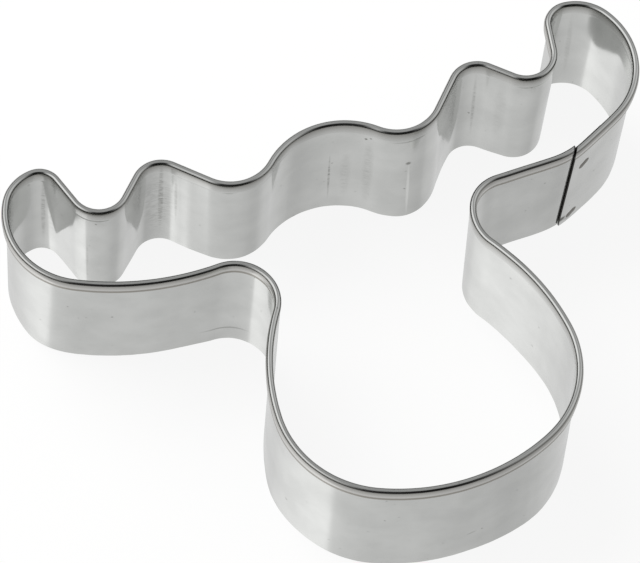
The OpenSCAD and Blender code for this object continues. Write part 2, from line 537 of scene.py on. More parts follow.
def grey_levels(tree: Tree, share: Socket, stops: list[tuple[float, float]]) -> Socket:
    """Grey levels between stops.

    Args:
        tree: the tree that gets them.
        share: the place among the stops, from 0 to 1.
        stops: each stop's place and level.

    Returns:
        The socket that carries the level as a colour.
    """
    ramp = add_node(tree, "ShaderNodeValToRGB", {0: share})
    elements = ramp.node.color_ramp.elements
    while len(elements) < len(stops):
        elements.new(0.5)
    for element, (place, level) in zip(elements, stops):
        element.position = place
        element.color = (level, level, level, 1.0)
    return ramp


def new_material(name: str) -> tuple[bpy.types.Material, Tree]:
    """An empty node material.

    Args:
        name: its name.

    Returns:
        The material and its tree.
    """
    material = bpy.data.materials.new(name)
    material.use_nodes = True
    material.node_tree.nodes.clear()
    return material, material.node_tree


def mottle(tree: Tree, size: float, layers: float, strength: float, depth: float) -> tuple[Socket, Socket]:
    """Noise on the piece's own coordinates, and the relief that it makes.

    Args:
        tree: the material's tree.
        size: the noise's grain size, in millimetres.
        layers: number of finer layers.
        strength: the relief's strength.
        depth: the relief's depth, in millimetres.

    Returns:
        The sockets that carry the noise and the relief.
    """
    place = add_node(tree, "ShaderNodeTexCoord", {}, output="Object")
    inputs = {"Vector": place, "Scale": 1 / (size * MM), "Detail": layers}
    noise = add_node(tree, "ShaderNodeTexNoise", inputs)
    inputs = {"Strength": strength, "Distance": depth * MM, "Height": noise}
    return noise, add_node(tree, "ShaderNodeBump", inputs)


def finish_metal(tree: Tree, colour: Socket | tuple, roughness: Socket | float, relief: Socket) -> None:
    """Ends a material's tree with a bare metal surface.

    Args:
        tree: the material's tree.
        colour: the metal's linear colour.
        roughness: its roughness.
        relief: its relief.
    """
    inputs = {"Base Color": colour, "Metallic": 1.0, "Roughness": roughness, "Normal": relief}
    shader = add_node(tree, "ShaderNodeBsdfPrincipled", inputs)
    add_node(tree, "ShaderNodeOutputMaterial", {"Surface": shader})


@dataclass(frozen=True)
class Scuff:
    """A mark on the strip, by its middle and half sizes on the flat pattern, in millimetres and degrees."""

    along: float
    up: float
    half_along: float
    half_up: float
    weight: float
    tilt: float = 0.0


OUTSIDE = 100.0
TOOL_MARKS = (
    Scuff(155.4, 13.0, 0.5, 12.0, 0.42),
    Scuff(154.0, 12.0, 1.6, 11.0, 0.14),
    Scuff(145.2, 9.0, 0.35, 9.0, 0.32),
    Scuff(128.4, 14.0, 0.7, 14.0, 0.62),
    Scuff(129.0, 12.5, 3.4, 14.0, 0.3),
    Scuff(125.9, 15.0, 0.4, 9.0, 0.3),
    Scuff(95.5, 9.5, 0.28, 8.0, 0.6),
    Scuff(92.8, 10.0, 1.2, 9.0, 0.16),
    Scuff(89.0, 12.0, 1.2, 12.0, 0.22),
    Scuff(64.6, 13.0, 0.4, 11.0, 0.36),
    Scuff(60.0, 13.0, 1.4, 11.0, 0.14),
    Scuff(36.5, 13.0, 0.6, 11.0, 0.2),
)
SMEARS = (
    Scuff(82.5, 15.9, 0.6, 0.55, 0.7, 40.0),
    Scuff(89.7, 21.6, 0.35, 0.4, 0.75, 30.0),
    Scuff(88.9, 22.1, 0.3, 0.3, 0.6),
    Scuff(107.0, 22.4, 5.0, 0.3, 0.35),
    Scuff(82.5, 22.4, 4.0, 0.3, 0.3),
    Scuff(208.5, OUTSIDE + 3.6, 5.5, 0.35, 0.4),
    Scuff(189.5, OUTSIDE + 13.5, 0.3, 0.25, 0.5),
    Scuff(279.0, OUTSIDE + 6.0, 1.2, 0.35, 0.25, 10.0),
    Scuff(0.4, OUTSIDE + 1.9, 1.2, 0.9, 1.0),
    Scuff(1.6, OUTSIDE + 1.0, 1.3, 0.35, 0.5, -15.0),
)
# Painted highlight: a lighter line along one crease.
CREASE_HIGHLIGHT = Scuff(82.4, 8.0, 0.32, 9.5, 0.7)
# Painted shade beside the fold, where the same share also makes the tin rougher as wear: the height up the
# flat pattern, in millimetres, and the share there.
FOLD_SHADE_AND_WEAR = (
    (22.0, 0.0), (22.72, 0.0), (22.8, 0.15), (23.7, 0.45), (24.7, 0.85), (25.05, 1.0), (25.35, 0.0),
    (25.95, 0.0), (26.25, 1.0), (26.6, 0.6), (27.2, 0.25), (28.2, 0.25), (28.6, 0.0),
)


@dataclass(frozen=True)
class FlatPattern:
    """The strip's flat pattern in a material: its tree and the socket of its coordinates, in metres."""

    tree: Tree
    place: Socket
    mark_core: float = 0.3

    def noise(self, along_mm: float, up_mm: float, layers: float = 2.0) -> Socket:
        """Noise with its own grain sizes along the strip and up it.

        Args:
            along_mm: grain size along the strip.
            up_mm: grain size up the strip.
            layers: number of finer layers.

        Returns:
            The socket that carries the noise.
        """
        scale = (1 / (along_mm * MM), 1 / (up_mm * MM), 1)
        at = add_node(self.tree, "ShaderNodeMapping", {"Vector": self.place, "Scale": scale})
        return add_node(self.tree, "ShaderNodeTexNoise", {"Vector": at, "Scale": 1.0, "Detail": layers})

    def share(self, scuff: Scuff) -> Socket:
        """How strongly one mark shows: its weight at the middle, smoothly to 0 at the edge of its oval.

        Args:
            scuff: the mark.

        Returns:
            The socket that carries the share.
        """
        inputs = {
            "Vector": self.place,
            "Location": (scuff.along * MM, scuff.up * MM, 0),
            "Rotation": (0, 0, math.radians(scuff.tilt)),
            "Scale": (scuff.half_along * MM, scuff.half_up * MM, 1),
        }
        oval = add_node(self.tree, "ShaderNodeMapping", inputs, vector_type="TEXTURE")
        reach = add_node(self.tree, "ShaderNodeVectorMath", {0: oval}, output="Value", operation="LENGTH")
        inputs = {"Value": reach, "From Min": 1.0, "From Max": self.mark_core, "To Max": scuff.weight}
        return add_node(self.tree, "ShaderNodeMapRange", inputs, interpolation_type="SMOOTHSTEP")

    def strongest(self, marks: tuple[Scuff, ...]) -> Socket:
        """The largest share among some marks.

        Args:
            marks: the marks.

        Returns:
            The socket that carries the share.
        """
        total, *shares = [self.share(mark) for mark in marks]
        for share in shares:
            total = add_node(self.tree, "ShaderNodeMath", {0: total, 1: share}, operation="MAXIMUM")
        return total


@dataclass(frozen=True)
class Tinplate:
    """Hot-dipped tinplate, rolled then bent.

    It is a soft grey mirror: cloudy at about a centimetre where the tin is a little duller, faintly grained
    across the strip, streaked along the fold, rougher beside it and darker there as painted shade, with
    short wrinkles where the bending tool bit, a painted highlight along one crease, a few smears and sparse
    dark specks.
    """

    colour: str = "D3D4D2"
    dull_colour: str = "CACBC9"
    hem_colour: str = "D2D1CE"
    # Painted shade: the tin's colour darkened beside the fold.
    fold_shade_colour: str = "969591"
    # Painted highlight along one crease.
    crease_highlight_colour: str = "E9EAE8"
    mark_colour: str = "6F6F6A"
    roughness: float = 0.1
    dull_roughness: float = 0.17
    worn_roughness: float = 0.26
    mark_roughness: float = 0.4
    cloud_mm: float = 7.0
    cloud_range: tuple[float, float] = (0.35, 0.65)
    grain_mm: float = 0.5
    grain_up_mm: float = 15.0
    grain_depth_mm: float = 0.02
    grain_strength: float = 0.1
    streak_along_mm: float = 16.0
    streak_up_mm: float = 0.24
    streak_depth_mm: float = 0.022
    tick_along_mm: float = 1.3
    tick_up_mm: float = 0.3
    tick_range: tuple[float, float] = (0.38, 0.66)
    tick_least: float = 0.3
    speck_mm: float = 1.1
    speck_range: tuple[float, float] = (0.74, 0.8)
    speck_share: float = 0.45
    fold_from_mm: float = 24.8
    hem_from_mm: float = 26.2
    hem_to_mm: float = 29.0

    def blemishes(self, pattern: FlatPattern) -> Socket:
        """The share of tool marks, broken up into short ticks, and of smears and specks.

        Args:
            pattern: the flat pattern.

        Returns:
            The socket that carries the share.
        """
        tree = pattern.tree
        noise = pattern.noise(self.tick_along_mm, self.tick_up_mm)
        low, high = self.tick_range
        inputs = {"Value": noise, "From Min": low, "From Max": high, "To Min": self.tick_least}
        ticks = add_node(tree, "ShaderNodeMapRange", inputs, interpolation_type="SMOOTHSTEP")
        noise = pattern.noise(self.speck_mm, self.speck_mm, layers=1.0)
        low, high = self.speck_range
        inputs = {"Value": noise, "From Min": low, "From Max": high, "To Max": self.speck_share}
        specks = add_node(tree, "ShaderNodeMapRange", inputs, interpolation_type="SMOOTHSTEP")
        inputs = {0: pattern.strongest(TOOL_MARKS), 1: ticks}
        ticked = add_node(tree, "ShaderNodeMath", inputs, operation="MULTIPLY")
        inputs = {0: pattern.strongest(SMEARS), 1: specks}
        spotted = add_node(tree, "ShaderNodeMath", inputs, operation="MAXIMUM")
        return add_node(tree, "ShaderNodeMath", {0: ticked, 1: spotted}, operation="MAXIMUM")

    def relief(self, pattern: FlatPattern, up: Socket, inner: Socket) -> Socket:
        """Grain across the whole strip, and streaks along the fold that grow from its foot to the hem.

        Args:
            pattern: the flat pattern.
            up: its second coordinate.
            inner: 1 on the side of the sheet that is inside the cutter, otherwise 0.

        Returns:
            The socket that carries the relief.
        """
        tree = pattern.tree
        grain = pattern.noise(self.grain_mm, self.grain_up_mm)
        depth = self.grain_depth_mm * MM
        inputs = {"Strength": self.grain_strength, "Distance": depth, "Height": grain}
        grained = add_node(tree, "ShaderNodeBump", inputs)
        inputs = {"Value": up, "From Min": self.fold_from_mm * MM, "From Max": self.hem_from_mm * MM}
        on_fold = add_node(tree, "ShaderNodeMapRange", inputs)
        share = add_node(tree, "ShaderNodeMath", {0: on_fold, 1: inner}, operation="MULTIPLY")
        streak = pattern.noise(self.streak_along_mm, self.streak_up_mm)
        depth = self.streak_depth_mm * MM
        inputs = {"Strength": share, "Distance": depth, "Height": streak, "Normal": grained}
        return add_node(tree, "ShaderNodeBump", inputs)

    def build(self) -> bpy.types.Material:
        """Makes the material on the strip's own UV map, whose u runs along the strip and v up it.

        Returns:
            The material.
        """
        material, tree = new_material("tinplate_rolled")
        pattern = FlatPattern(tree, add_node(tree, "ShaderNodeUVMap", {}, uv_map="strip"))
        up = add_node(tree, "ShaderNodeSeparateXYZ", {0: pattern.place}, output="Y")
        marks = self.blemishes(pattern)
        hem_from, hem_to = self.hem_from_mm * MM, self.hem_to_mm * MM
        above = add_node(tree, "ShaderNodeMath", {0: up, 1: hem_from}, operation="GREATER_THAN")
        inner = add_node(tree, "ShaderNodeMath", {0: up, 1: hem_to}, operation="LESS_THAN")
        on_hem = add_node(tree, "ShaderNodeMath", {0: above, 1: inner}, operation="MULTIPLY")
        cloud = pattern.noise(self.cloud_mm, self.cloud_mm, layers=7.0)
        low, high = self.cloud_range
        cloudy = add_node(tree, "ShaderNodeMapRange", {"Value": cloud, "From Min": low, "From Max": high})
        # Painted shade: darker towards the fold's foot on the band and on the hem's top; the same share also
        # makes the tin rougher there.
        low, high = FOLD_SHADE_AND_WEAR[0][0], FOLD_SHADE_AND_WEAR[-1][0]
        inputs = {"Value": up, "From Min": low * MM, "From Max": high * MM}
        near_fold = add_node(tree, "ShaderNodeMapRange", inputs)
        stops = [((height - low) / (high - low), share) for height, share in FOLD_SHADE_AND_WEAR]
        fold_shade_and_wear = grey_levels(tree, near_fold, stops)
        colour = linear_rgb(self.colour)
        for share, code in (
            (cloudy, self.dull_colour),
            (on_hem, self.hem_colour),
            (fold_shade_and_wear, self.fold_shade_colour),
            (pattern.share(CREASE_HIGHLIGHT), self.crease_highlight_colour),
            (marks, self.mark_colour),
        ):
            inputs = {0: share, 6: colour, 7: linear_rgb(code)}
            colour = add_node(tree, "ShaderNodeMix", inputs, output=2, data_type="RGBA")
        inputs = {"Value": cloudy, "To Min": self.roughness, "To Max": self.dull_roughness}
        rough = add_node(tree, "ShaderNodeMapRange", inputs)
        for share, rougher in ((fold_shade_and_wear, self.worn_roughness), (marks, self.mark_roughness)):
            rough = add_node(tree, "ShaderNodeMix", {0: share, 2: rough, 3: rougher}, data_type="FLOAT")
        finish_metal(tree, colour, rough, self.relief(pattern, up, inner))
        return material


@dataclass(frozen=True)
class EdgeAndShade:
    """Dark metal with a fine grain: near-black bare steel and painted shade on cut faces, painted shade on
    the hem's lip.
    """

    name: str
    colour: str
    roughness: float = 0.5
    grain_mm: float = 0.17
    bump: float = 0.2
    bump_mm: float = 0.03

    def build(self) -> bpy.types.Material:
        """Makes the material, with a fine grain of the shear across the edge.

        Returns:
            The material.
        """
        material, tree = new_material(self.name)
        _, relief = mottle(tree, self.grain_mm, layers=2.0, strength=self.bump, depth=self.bump_mm)
        finish_metal(tree, linear_rgb(self.colour), self.roughness, relief)
        return material


@dataclass(frozen=True)
class WeldScar:
    """Spot weld on tinplate: the tin has burnt off to a dull brown-grey patch, mottled at a millimetre."""

    colour: str = "8C8984"
    dark_colour: str = "6B6862"
    roughness: float = 0.42
    patch_mm: float = 0.8
    bump: float = 0.3
    bump_mm: float = 0.04

    def build(self) -> bpy.types.Material:
        """Makes the material, with the patches also raised a little.

        Returns:
            The material.
        """
        material, tree = new_material("spot_weld_scar")
        patch, relief = mottle(tree, self.patch_mm, layers=3.0, strength=self.bump, depth=self.bump_mm)
        inputs = {0: patch, 6: linear_rgb(self.colour), 7: linear_rgb(self.dark_colour)}
        tint = add_node(tree, "ShaderNodeMix", inputs, output=2, data_type="RGBA")
        finish_metal(tree, tint, self.roughness, relief)
        return material


def new_piece(name: str, points: np.ndarray, quads: np.ndarray) -> bpy.types.Object:
    """A mesh object at the origin, smooth but for its sharp edges.

    Args:
        name: the piece's name.
        points: vertices in millimetres, one row each.
        quads: vertex numbers of the faces, four to a row.

    Returns:
        The object, linked to the scene.
    """
    mesh = bpy.data.meshes.new(name)
    mesh.vertices.add(len(points))
    mesh.vertices.foreach_set("co", (points * MM).astype(np.float32).ravel())
    mesh.loops.add(quads.size)
    mesh.loops.foreach_set("vertex_index", quads.astype(np.int32).ravel())
    mesh.polygons.add(len(quads))
    mesh.polygons.foreach_set("loop_start", np.arange(0, quads.size, 4, dtype=np.int32))
    mesh.update(calc_edges=True)
    mesh.validate()
    mesh.shade_smooth()
    mesh.set_sharp_from_angle(angle=math.radians(SHARP_EDGE))
    piece = bpy.data.objects.new(name, mesh)
    bpy.context.scene.collection.objects.link(piece)
    return piece


@dataclass
class CutterStrip:
    """The bent strip: a folded sheet carried along the outline's run."""

    outline: Outline = field(default_factory=Outline)
    profile: Profile = field(default_factory=Profile)
    handwork: Handwork = field(default_factory=Handwork)
    longest_step: float = 0.45
    widest_turn: float = 4.0
    seam_calm: float = 7.0
    plug_start: float = 0.02
    plug_depth: float = 0.25

    def __post_init__(self) -> None:
        """Lays the run out once."""
        self.run, self.rim_start, self.rim_end = self.outline.run()

    def stations(self, marks: list[float]) -> np.ndarray:
        """Lengths along the run for the mesh's rings, closer where the strip bends tightly.

        The step is the longest one, or the widest turn's angle times the radius where that is less.
        The run is counted in such steps, and a ring stands at each whole number of them, unless a mark
        is nearer than a third of the longest step.

        Args:
            marks: lengths that must have a ring.

        Returns:
            The lengths in order.
        """
        run = self.run
        step = np.minimum(self.longest_step, math.radians(self.widest_turn) / np.abs(run.curvature))
        spans = np.diff(run.length)
        total = np.concatenate([[0], np.cumsum(spans / ((step[1:] + step[:-1]) / 2))])
        rings = np.interp(np.arange(0, total[-1], 1.0), total, run.length)
        near = np.min(np.abs(rings[:, None] - np.array(marks)[None, :]), axis=1)
        return np.sort(np.concatenate([rings[near > self.longest_step / 3], marks]))

    def shift(self, length: np.ndarray, up: np.ndarray) -> np.ndarray:
        """Outward shift of each point from the handwork: stray, lean, facets and the sprung end.

        The lean is full at the cutting edge and goes evenly to none at the top. The facets fade out over
        the band below the fold. The sprung end's lift goes by the root of a half sine up the free end.

        Args:
            length: lengths along the run.
            up: heights.

        Returns:
            The distances outwards.
        """
        fade = np.clip(np.minimum(length - self.rim_start, self.rim_end - length) / self.seam_calm, 0, 1)
        stray = self.handwork.blended(length, STRAYS)
        lean = self.handwork.blended(length, LEANS) * np.clip(1 - up / self.profile.height, 0, 1)
        below_fold = np.clip((self.profile.height - up) / self.profile.band_h, 0, 1)
        rise = np.clip(1 - up / self.profile.free_top, 0, 1)
        lift = self.handwork.lift(length) * np.sqrt(np.clip(np.sin(math.pi * rise), 0, 1))
        return stray + lean + self.handwork.facets(length, fade) * below_fold + lift

    def slanted(self, length: np.ndarray, out: np.ndarray) -> np.ndarray:
        """Lengths moved back for the slanting cuts at the rim's two ends."""
        from_cut = np.minimum(np.abs(length - self.rim_start), np.abs(self.rim_end - length))
        return length - self.handwork.slant(out / self.profile.rim_w, from_cut)

    def points(self, length: np.ndarray, out: np.ndarray, up: np.ndarray) -> np.ndarray:
        """Points of the bent sheet: the run's place moved outwards, square to its heading.

        Args:
            length: lengths along the run.
            out: distances outwards from the inner face.
            up: heights.

        Returns:
            The points, with one more axis of 3.
        """
        place, heading = self.run.at(length)
        flat = place - (out + self.shift(length, up))[..., None] * inward(heading)
        return np.concatenate([flat, up[..., None]], axis=-1)

    def build(self) -> bpy.types.Object:
        """Builds the strip as two sides of one sheet, with cut faces wherever the sheet ends.

        The sheet is a grid of rings along the run and rows up the profile. Each cell of the grid is
        solid or empty: the free end and the tongue have cells only up to their tops. A solid cell
        gives a face on each side, and a border between solid and empty cells gives a cut face.

        Returns:
            The strip's object.
        """
        inner = self.profile.inner_side()
        outer = self.profile.outer_side(inner)
        rings = self.stations([0.0, self.rim_start, self.rim_end, float(self.run.length[-1])])
        share = np.clip(1 - rings / self.rim_start, 0, 1)[:, None]
        tall = np.clip(inner[:, 1], 0, self.profile.height)[None, :]
        length = rings[:, None] + self.outline.end_lean / self.profile.height * tall * share
        length = self.slanted(length, inner[None, :, 0])
        sides = []
        for side in (inner, outer):
            out, up = (np.broadcast_to(column, length.shape) for column in side.T)
            sides.append(self.points(length, out, up))
        number = np.arange(length.size).reshape(length.shape)
        quads, surfaces = self.faces(number, number + length.size, self.solid_cells(rings, len(inner)))
        points = np.concatenate([side.reshape(-1, 3) for side in sides])
        for plug_points, plug_quads in (self.plug(self.rim_start, 1), self.plug(self.rim_end, -1)):
            quads = np.concatenate([quads, plug_quads + len(points)])
            points = np.concatenate([points, plug_points])
        # The plugs take the near-black cut slot: painted shade in the notch where the rim ends.
        slots = np.concatenate([surfaces, np.full(len(quads) - len(surfaces), Surface.CUT)])
        piece = new_piece("strip_folded", points, quads)
        piece.data.polygons.foreach_set("material_index", slots.astype(np.int32))
        self.lay_out_uv(piece, length, inner)
        return piece

    def solid_cells(self, rings: np.ndarray, rows: int) -> np.ndarray:
        """Which cells of the grid are sheet.

        Args:
            rings: lengths of the rings along the run.
            rows: number of rows up the profile.

        Returns:
            True for each cell of sheet, by ring and row.
        """
        middle = (rings[1:] + rings[:-1]) / 2
        ends = [middle < self.rim_start, middle > self.rim_end]
        top = np.select(ends, [self.profile.free_row, self.profile.tongue_row], rows - 1)
        return np.arange(rows - 1)[None, :] < top[:, None]

    def plug(self, length: float, way: int) -> tuple[np.ndarray, np.ndarray]:
        """Closes the fold where the rim ends, as if pinched shut: a thin plate from the wall to the hem.

        Args:
            length: where the rim ends.
            way: 1 where the rim goes on to greater lengths, otherwise -1.

        Returns:
            The plate's points and quads.
        """
        inside = self.profile.outer_side(self.profile.inner_side())
        climb = inside[: self.profile.crest_row + 1]
        drop = inside[self.profile.crest_row + 1 :]
        reach = np.interp(drop[:, 1], climb[:, 1], climb[:, 0])
        corners = []
        for deep in (self.plug_start, self.plug_depth):
            at = np.full(len(drop), length + way * deep)
            for out in (reach, drop[:, 0]):
                corners.append(self.points(self.slanted(at, out), out, drop[:, 1]))
        loop = np.stack([corners[0], corners[1], corners[3], corners[2]])
        number = np.arange(4 * len(drop)).reshape(4, len(drop))
        after = np.roll(number, -1, axis=0)
        walls = np.stack([number[:, :-1], number[:, 1:], after[:, 1:], after[:, :-1]], axis=-1)
        quads = np.concatenate([walls.reshape(-1, 4), number[None, ::-1, 0], number[None, :, -1]])
        return loop.reshape(-1, 3), quads if way > 0 else quads[:, ::-1]

    def faces(self, a: np.ndarray, b: np.ndarray, solid: np.ndarray) -> tuple[np.ndarray, np.ndarray]:
        """Faces of the sheet from the vertex numbers of its two sides and the solid cells.

        Args:
            a: vertex numbers of the inner side, by ring and row.
            b: vertex numbers of the outer side.
            solid: which cells are sheet.

        Returns:
            The quads and their surfaces.
        """
        i, k = np.nonzero(solid)
        inner = np.stack([a[i, k], a[i, k + 1], a[i + 1, k + 1], a[i + 1, k]], axis=1)
        outer = np.stack([b[i, k], b[i + 1, k], b[i + 1, k + 1], b[i, k + 1]], axis=1)
        on_lip = k >= solid.shape[1] - self.profile.lip_rows
        padded = np.pad(solid, 1)
        i, k = np.nonzero(solid & ~padded[1:-1, :-2])
        below = np.stack([a[i, k], a[i + 1, k], b[i + 1, k], b[i, k]], axis=1)
        i, k = np.nonzero(solid & ~padded[1:-1, 2:])
        above = np.stack([a[i, k + 1], b[i, k + 1], b[i + 1, k + 1], a[i + 1, k + 1]], axis=1)
        i, k = np.nonzero(solid & ~padded[:-2, 1:-1])
        start = np.stack([a[i, k], b[i, k], b[i, k + 1], a[i, k + 1]], axis=1)
        i, k = np.nonzero(solid & ~padded[2:, 1:-1])
        end = np.stack([a[i + 1, k], a[i + 1, k + 1], b[i + 1, k + 1], b[i + 1, k]], axis=1)
        cut = np.concatenate([below, above, start, end])
        # The hem's lip faces get the darker slot: painted shade of the line under the hem.
        shown = np.where(on_lip, Surface.HEM_LIP_SHADE, Surface.TINNED)
        hidden = np.full(len(outer), Surface.TINNED)
        surfaces = np.concatenate([shown, hidden, np.full(len(cut), Surface.CUT)])
        return np.concatenate([inner, outer, cut]), surfaces

    @staticmethod
    def lay_out_uv(piece: bpy.types.Object, length: np.ndarray, inner: np.ndarray) -> None:
        """Gives the strip its flat pattern as UV: metres along the strip and metres up the sheet.

        The outer side is laid out above the inner one, and the plugs all lie at the pattern's corner.

        Args:
            piece: the strip.
            length: lengths along the run, by ring and row.
            inner: the profile's inner side.
        """
        mesh = piece.data
        steps = np.hypot(*np.diff(inner, axis=0).T)
        up = np.broadcast_to(np.concatenate([[0], np.cumsum(steps)]), length.shape)
        flat = np.stack([length, up], axis=-1).reshape(-1, 2)
        flat = np.concatenate([flat, flat + [0, OUTSIDE]])
        pattern = np.zeros((len(mesh.vertices), 2))
        pattern[: len(flat)] = flat * MM
        corner = np.empty(len(mesh.loops), np.int32)
        mesh.loops.foreach_get("vertex_index", corner)
        layer = mesh.uv_layers.new(name="strip")
        layer.data.foreach_set("uv", pattern[corner].astype(np.float32).ravel())


@dataclass(frozen=True)
class SpotWeld:
    """A spot weld: a shallow long scar on both outer faces of the lap, with the nugget between.

    Its outline is an oval drawn out and pinched a little at its middle, and it is laid out on a grid of
    nested squares bent to that outline, so that it has no pole.
    """

    name: str
    node: str
    along: float
    up: float
    length: float = 2.8
    width: float = 2.15
    pinch: float = 0.2
    waist: float = 0.35
    tilt: float = 24.0
    proud: float = 0.05
    sunk: float = 0.05
    cells: int = 24

    def flat_grid(self) -> tuple[np.ndarray, np.ndarray, np.ndarray]:
        """The scar on the flat: a square grid pressed into a disc, then drawn out and pinched.

        A square's point (p, q) goes to the disc's point (p sqrt(1 - q q / 2), q sqrt(1 - p p / 2)). The
        pinch is a bell curve about the middle, whose half width is waist times the half length.

        Returns:
            Places along and across the scar, and each point's share of the way from the middle to the edge.
        """
        side = np.linspace(-1, 1, self.cells + 1)
        p, q = np.meshgrid(side, side, indexing="ij")
        x = p * np.sqrt(1 - q**2 / 2)
        y = q * np.sqrt(1 - p**2 / 2)
        width = self.width * (1 - self.pinch * np.exp(-((x / self.waist) ** 2)))
        return x * self.length / 2, y * width / 2, np.hypot(x, y)

    def build(self, strip: CutterStrip) -> bpy.types.Object:
        """Builds the scar's two caps on the sheet's outer faces, and the wall between them.

        A cap goes from proud at its middle to sunk at its edge, by the fourth power of the share of the way.

        Args:
            strip: the strip that it welds.

        Returns:
            The weld's object.
        """
        x, y, reach = self.flat_grid()
        tilt = math.radians(self.tilt)
        along = self.along + x * math.cos(tilt) - y * math.sin(tilt)
        up = self.up + x * math.sin(tilt) + y * math.cos(tilt)
        dome = self.proud - (self.proud + self.sunk) * reach**4
        outline = strip.outline
        outer_ply = (along + outline.end_lean) * (outline.under_r + outline.lap_step) / outline.under_r
        inside = strip.points(strip.rim_end + outline.rim_back + along, -dome, up)
        outside = strip.points(outer_ply, outline.sheet + dome, up)
        points = np.concatenate([inside.reshape(-1, 3), outside.reshape(-1, 3)])
        a = np.arange(x.size).reshape(x.shape)
        b = a + x.size
        inner = np.stack([a[:-1, :-1], a[:-1, 1:], a[1:, 1:], a[1:, :-1]], axis=-1).reshape(-1, 4)
        outer = np.stack([b[:-1, :-1], b[1:, :-1], b[1:, 1:], b[:-1, 1:]], axis=-1).reshape(-1, 4)
        border = np.concatenate([a[:-1, 0], a[-1, :-1], a[:0:-1, -1], a[0, :0:-1]])
        after = np.roll(border, -1)
        wall = np.stack([border, after, after + x.size, border + x.size], axis=-1)
        return new_piece(self.name, points, np.concatenate([inner, outer, wall]))


@dataclass(frozen=True)
class Zone:
    """Brightness at one azimuth of the pale sweep, of the dark gap over it and of the lights above that."""

    azimuth: float
    sweep: float
    gap: float
    lights: float

    @property
    def turn(self) -> float:
        """The azimuth as a share of a full turn from the back."""
        return (self.azimuth + 180) / 360


ZONES = (
    Zone(-180.0, 0.76, 0.15, 0.5),
    Zone(-160.0, 0.8, 0.1, 0.7),
    Zone(-150.0, 0.85, 0.03, 1.1),
    Zone(-137.0, 0.95, 0.02, 1.15),
    Zone(-120.0, 1.06, 0.02, 1.15),
    Zone(-90.0, 1.18, 0.02, 1.15),
    Zone(-75.0, 1.18, 0.02, 1.1),
    Zone(-68.5, 0.88, 0.02, 0.95),
    Zone(-60.0, 0.82, 0.02, 0.75),
    Zone(-50.0, 0.8, 0.015, 0.45),
    Zone(-38.0, 0.775, 0.01, 0.04),
    Zone(0.0, 0.735, 0.01, 0.01),
    Zone(13.0, 0.705, 0.01, 0.015),
    Zone(24.0, 0.68, 0.08, 0.12),
    Zone(34.0, 0.65, 0.2, 0.35),
    Zone(46.0, 0.62, 0.28, 0.55),
    Zone(58.0, 0.62, 0.34, 0.62),
    Zone(68.0, 0.67, 0.34, 0.66),
    Zone(82.0, 0.71, 0.32, 0.75),
    Zone(110.0, 0.71, 0.26, 0.7),
    Zone(125.0, 0.71, 0.2, 0.45),
    Zone(145.0, 0.72, 0.15, 0.4),
    Zone(180.0, 0.76, 0.15, 0.5),
)


